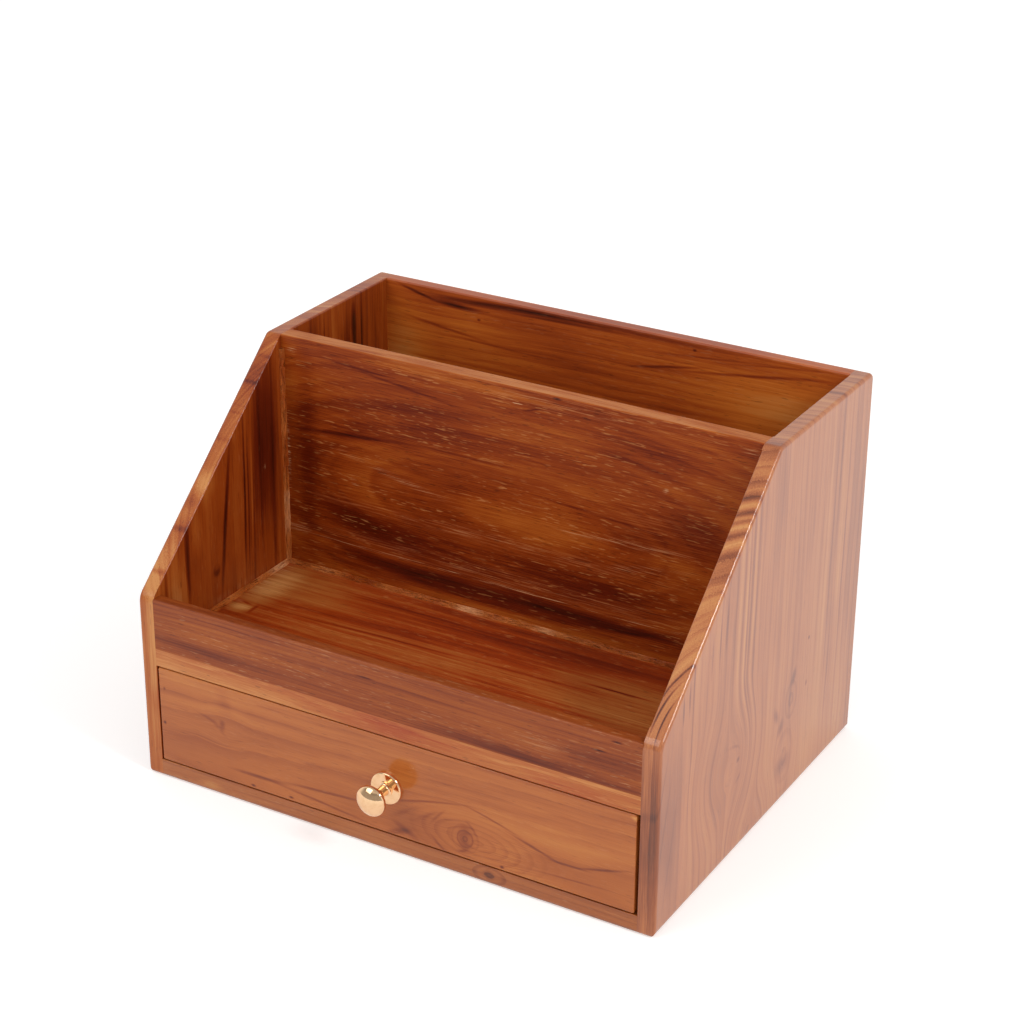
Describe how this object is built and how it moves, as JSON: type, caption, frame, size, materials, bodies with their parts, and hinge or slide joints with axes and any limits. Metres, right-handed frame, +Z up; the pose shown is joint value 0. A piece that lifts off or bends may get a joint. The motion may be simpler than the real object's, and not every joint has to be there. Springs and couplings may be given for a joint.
{
  "type": "desk organizer with drawer",
  "caption": "Solid wood desk organizer: an open tray with sloping sides, a tall slot behind a divider, and a shallow drawer with a brass knob below.",
  "frame": {"origin": "middle of the carcass footprint, on the surface that it stands on", "axes": "+X to the right seen from the front, +Y from the front to the back, +Z up; the drawer opens along -Y"},
  "size_m": [0.33, 0.2766, 0.2305],
  "materials": {
    "teak": "semi-gloss clear lacquer on planed teak",
    "dowel_wood": "bare turned hardwood",
    "plywood": "sanded plywood",
    "polished_brass": "polished and lacquered",
    "zinc_steel": "zinc plated"
  },
  "bodies": {
    "carcass": {"left_side_panel": "teak", "right_side_panel": "teak", "base_board": "teak", "middle_shelf": "teak", "front_lip": "teak", "divider_panel": "teak", "back_panel": "teak", "base_dowels": "dowel_wood", "shelf_dowels": "dowel_wood", "lip_dowels": "dowel_wood", "divider_dowels": "dowel_wood", "back_dowels": "dowel_wood", "drawer_stop_left": "teak", "drawer_stop_right": "teak"},
    "drawer": {"drawer_front": "teak", "drawer_left_side": "teak", "drawer_right_side": "teak", "drawer_back": "teak", "drawer_bottom": "plywood", "drawer_side_brads": "zinc_steel", "drawer_bottom_brads": "zinc_steel", "knob_rosette": "polished_brass", "knob": "polished_brass", "knob_washer": "zinc_steel", "knob_screw": "zinc_steel"}
  },
  "joints": [
    {"name": "drawer_slide", "type": "slide", "parent": "carcass", "child": "drawer", "axis": [0, -1, 0], "range_m": [0, 0.19]}
  ]
}
